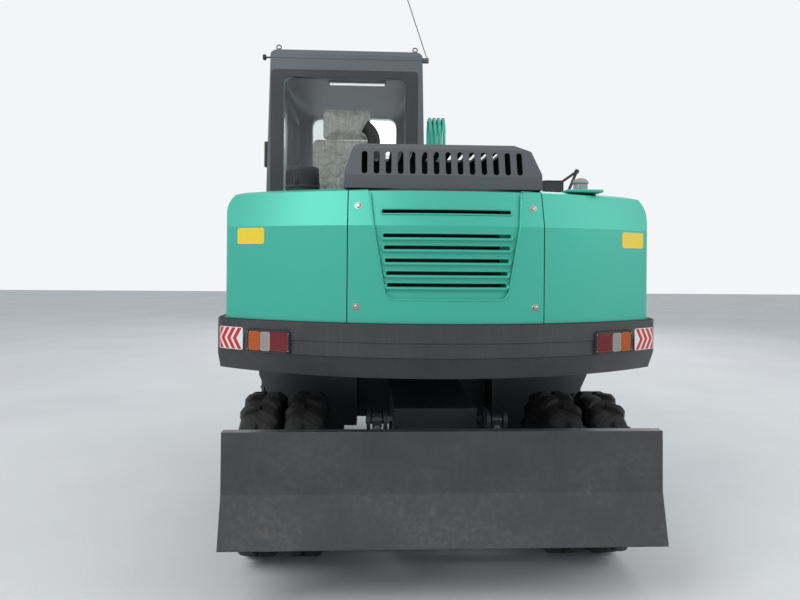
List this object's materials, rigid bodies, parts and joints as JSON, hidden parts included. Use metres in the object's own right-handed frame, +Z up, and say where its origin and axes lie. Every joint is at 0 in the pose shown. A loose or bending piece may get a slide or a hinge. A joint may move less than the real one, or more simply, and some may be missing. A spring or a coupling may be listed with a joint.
{
  "type": "wheeled excavator",
  "caption": "Wheeled excavator with twin tyres, rear dozer blade, turning upper body, cab with a seat, and a hinged boom, arm and bucket.",
  "frame": {"origin": "middle of the whole machine's length and width, on the ground", "axes": "+X to the machine's right, +Y forward towards the bucket, +Z up"},
  "size_m": [2.22, 6.0604, 3.2621],
  "materials": {
    "chassis_black": "semi-gloss black chassis paint with road dust",
    "frame_grey": "dark grey satin enamel",
    "barrel_grey": "dark grey satin enamel",
    "rod_chrome": "polished hard chrome",
    "rim_grey": "grey satin enamel",
    "tyre": "matt black rubber",
    "mint_paint": "glossy mint green enamel",
    "tube_mint": "glossy mint green enamel",
    "hood_grey": "satin dark grey",
    "cab_grey": "satin grey enamel",
    "glass": "clear tinted safety glass",
    "engine": "painted casting",
    "exhaust": "matt heat-proof black",
    "black_plastic": "matt black moulding",
    "seat_fabric": "dark woven fabric under a clear film",
    "lamp_red": "coloured lens",
    "bucket_steel": "dark grey satin enamel"
  },
  "bodies": {
    "chassis": {"chassis_frame": "chassis_black", "slew_ring": "chassis_black", "rear_axle": "chassis_black", "front_axle": "chassis_black", "drive_line": "chassis_black", "side_boxes": "frame_grey"},
    "knuckle_left": {"knuckle_left": "chassis_black"},
    "knuckle_right": {"knuckle_right": "chassis_black"},
    "track_rod": {"track_rod": "chassis_black"},
    "wheels_rear_left": {"rims_rear_left": "rim_grey", "tyres_rear_left": "tyre"},
    "wheels_rear_right": {"rims_rear_right": "rim_grey", "tyres_rear_right": "tyre"},
    "wheels_front_left": {"rims_front_left": "rim_grey", "tyres_front_left": "tyre"},
    "wheels_front_right": {"rims_front_right": "rim_grey", "tyres_front_right": "tyre"},
    "blade_lower_links": {"blade_lower_links": "frame_grey"},
    "blade": {"blade": "frame_grey"},
    "blade_upper_links": {"blade_upper_links": "frame_grey"},
    "blade_barrels": {"blade_barrels": "barrel_grey"},
    "blade_rods": {"blade_rods": "rod_chrome"},
    "upper": {"revolving_frame": "frame_grey", "counterweight": "frame_grey", "rear_shells": "mint_paint", "louvre_panel": "mint_paint", "deck_cover": "frame_grey", "engine_block": "engine", "exhaust_pipe": "exhaust", "intake_filters": "black_plastic", "right_tank": "mint_paint", "tail_lamps": "lamp_red", "deck_mirror": "black_plastic", "cab_frame": "cab_grey", "cab_roof": "cab_grey", "cab_glass": "glass", "seat": "seat_fabric", "controls": "black_plastic"},
    "hood": {"engine_hood": "hood_grey"},
    "side_door_left": {"side_door_left": "mint_paint"},
    "side_door_right": {"side_door_right": "mint_paint"},
    "cab_door": {"cab_door": "cab_grey", "door_glass": "glass"},
    "boom": {"boom": "mint_paint", "boom_tubes": "tube_mint"},
    "boom_barrels": {"boom_barrels": "barrel_grey"},
    "boom_rods": {"boom_rods": "rod_chrome"},
    "arm": {"arm": "mint_paint"},
    "arm_barrel": {"arm_barrel": "barrel_grey"},
    "arm_rod": {"arm_rod": "rod_chrome"},
    "rocker": {"rocker": "bucket_steel"},
    "bucket_link": {"bucket_link": "bucket_steel"},
    "bucket_barrel": {"bucket_barrel": "barrel_grey"},
    "bucket_rod": {"bucket_rod": "rod_chrome"},
    "bucket": {"bucket": "bucket_steel"}
  },
  "joints": [
    {"name": "steering", "type": "hinge", "parent": "chassis", "child": "knuckle_left", "pos_m": [-0.545, 0.178, 0.4325], "axis": [0, 0, 1], "range_deg": [-25, 25]},
    {"name": "steering_right", "type": "hinge", "parent": "chassis", "child": "knuckle_right", "pos_m": [0.545, 0.178, 0.4325], "axis": [0, 0, 1], "range_deg": [-26, 26]},
    {"name": "track_rod_end", "type": "hinge", "parent": "knuckle_left", "child": "track_rod", "pos_m": [-0.545, -0.042, 0.4325], "axis": [0, 0, 1], "range_deg": [-26, 26]},
    {"name": "wheel_rear_left", "type": "hinge", "parent": "chassis", "child": "wheels_rear_left", "pos_m": [-0.8075, -2.322, 0.4325], "axis": [1, 0, 0], "continuous": true},
    {"name": "wheel_rear_right", "type": "hinge", "parent": "chassis", "child": "wheels_rear_right", "pos_m": [0.8075, -2.322, 0.4325], "axis": [1, 0, 0], "continuous": true},
    {"name": "wheel_front_left", "type": "hinge", "parent": "knuckle_left", "child": "wheels_front_left", "pos_m": [-0.8075, 0.178, 0.4325], "axis": [1, 0, 0], "continuous": true},
    {"name": "wheel_front_right", "type": "hinge", "parent": "knuckle_right", "child": "wheels_front_right", "pos_m": [0.8075, 0.178, 0.4325], "axis": [1, 0, 0], "continuous": true},
    {"name": "blade_lift", "type": "hinge", "parent": "chassis", "child": "blade_lower_links", "pos_m": [0, -2.562, 0.3], "axis": [-1, 0, 0], "range_deg": [-57, 8]},
    {"name": "blade_level", "type": "hinge", "parent": "blade_lower_links", "child": "blade", "pos_m": [0, -2.88966, 0.52943], "axis": [-1, 0, 0], "range_deg": [-9, 58]},
    {"name": "blade_upper_link", "type": "hinge", "parent": "chassis", "child": "blade_upper_links", "pos_m": [0, -2.562, 0.5], "axis": [-1, 0, 0], "range_deg": [-58, 9]},
    {"name": "blade_barrel_pivot", "type": "hinge", "parent": "chassis", "child": "blade_barrels", "pos_m": [0, -2.572, 0.775], "axis": [-1, 0, 0], "range_deg": [-5.7, 1.7]},
    {"name": "blade_rod_slide", "type": "slide", "parent": "blade_barrels", "child": "blade_rods", "axis": [0, -0.3927, -0.9197], "range_m": [-0.0298, 0.2004]},
    {"name": "upper_swing", "type": "hinge", "parent": "chassis", "child": "upper", "pos_m": [0, -1.072, 0.96], "axis": [0, 0, 1], "continuous": true},
    {"name": "engine_hood_lid", "type": "hinge", "parent": "upper", "child": "hood", "pos_m": [0, -2.148, 1.9653], "axis": [-1, 0, 0], "range_deg": [0, 50]},
    {"name": "side_door_left_hinge", "type": "hinge", "parent": "upper", "child": "side_door_left", "pos_m": [-1.0805, -2.544, 1.54], "axis": [0, 0, 1], "range_deg": [0, 95]},
    {"name": "side_door_right_hinge", "type": "hinge", "parent": "upper", "child": "side_door_right", "pos_m": [1.0805, -2.544, 1.54], "axis": [0, 0, -1], "range_deg": [0, 95]},
    {"name": "cab_door_hinge", "type": "hinge", "parent": "upper", "child": "cab_door", "pos_m": [-1.014, -1.404, 2], "axis": [0, 0, 1], "range_deg": [0, 150]},
    {"name": "boom_lift", "type": "hinge", "parent": "upper", "child": "boom", "pos_m": [0.24, -0.772, 1.45], "axis": [1, 0, 0], "range_deg": [-53, 38]},
    {"name": "boom_barrel_pivot", "type": "hinge", "parent": "upper", "child": "boom_barrels", "pos_m": [0.24, -0.352, 1.12], "axis": [1, 0, 0], "range_deg": [-58.4, 42.2]},
    {"name": "boom_rod_slide", "type": "slide", "parent": "boom_barrels", "child": "boom_rods", "axis": [0, 0.7068, 0.7074], "range_m": [-0.3889, 0.2794]},
    {"name": "arm_swing", "type": "hinge", "parent": "boom", "child": "arm", "pos_m": [0.24, 2.40083, 2.525], "axis": [-1, 0, 0], "range_deg": [-79, 33]},
    {"name": "arm_barrel_pivot", "type": "hinge", "parent": "boom", "child": "arm_barrel", "pos_m": [0.24, 0.02243, 2.59551], "axis": [-1, 0, 0], "range_deg": [-1.4, 1.9]},
    {"name": "arm_rod_slide", "type": "slide", "parent": "arm_barrel", "child": "arm_rod", "axis": [0, 0.991, 0.1339], "range_m": [-0.4656, 0.1956]},
    {"name": "bucket_curl", "type": "hinge", "parent": "arm", "child": "bucket", "pos_m": [0.24, 2.40083, 0.875], "axis": [1, 0, 0], "range_deg": [-90, 60]},
    {"name": "rocker_pivot", "type": "hinge", "parent": "arm", "child": "rocker", "pos_m": [0.24, 2.41083, 1.175], "axis": [1, 0, 0], "range_deg": [-60.4, 40.6]},
    {"name": "bucket_link_pivot", "type": "hinge", "parent": "rocker", "child": "bucket_link", "pos_m": [0.24, 2.73729, 1.12674], "axis": [1, 0, 0], "range_deg": [-37, 55]},
    {"name": "bucket_barrel_pivot", "type": "hinge", "parent": "arm", "child": "bucket_barrel", "pos_m": [0.24, 2.62583, 2.395], "axis": [1, 0, 0], "range_deg": [-6.7, 4.8]},
    {"name": "bucket_rod_slide", "type": "slide", "parent": "bucket_barrel", "child": "bucket_rod", "axis": [0, 0.0875, -0.9962], "range_m": [-0.2112, 0.3158]}
  ],
  "couplings": [
    {"joint": "steering_right", "follows": "steering", "ratio": 1},
    {"joint": "track_rod_end", "follows": "steering", "ratio": -1},
    {"joint": "blade_level", "follows": "blade_lift", "ratio": -1},
    {"joint": "blade_upper_link", "follows": "blade_lift", "ratio": 1},
    {"joint": "blade_barrel_pivot", "follows": "blade_lift", "ratio": 0.082},
    {"joint": "blade_rod_slide", "follows": "blade_lift", "m_per_rad": -0.1994},
    {"joint": "boom_barrel_pivot", "follows": "boom_lift", "ratio": 1.082},
    {"joint": "boom_rod_slide", "follows": "boom_lift", "m_per_rad": 0.4183},
    {"joint": "arm_barrel_pivot", "follows": "arm_swing", "ratio": -0.011},
    {"joint": "arm_rod_slide", "follows": "arm_swing", "m_per_rad": 0.3362},
    {"joint": "rocker_pivot", "follows": "bucket_curl", "ratio": 0.66},
    {"joint": "bucket_link_pivot", "follows": "bucket_curl", "ratio": -0.6},
    {"joint": "bucket_barrel_pivot", "follows": "bucket_curl", "ratio": 0.063},
    {"joint": "bucket_rod_slide", "follows": "bucket_curl", "m_per_rad": -0.1998}
  ]
}
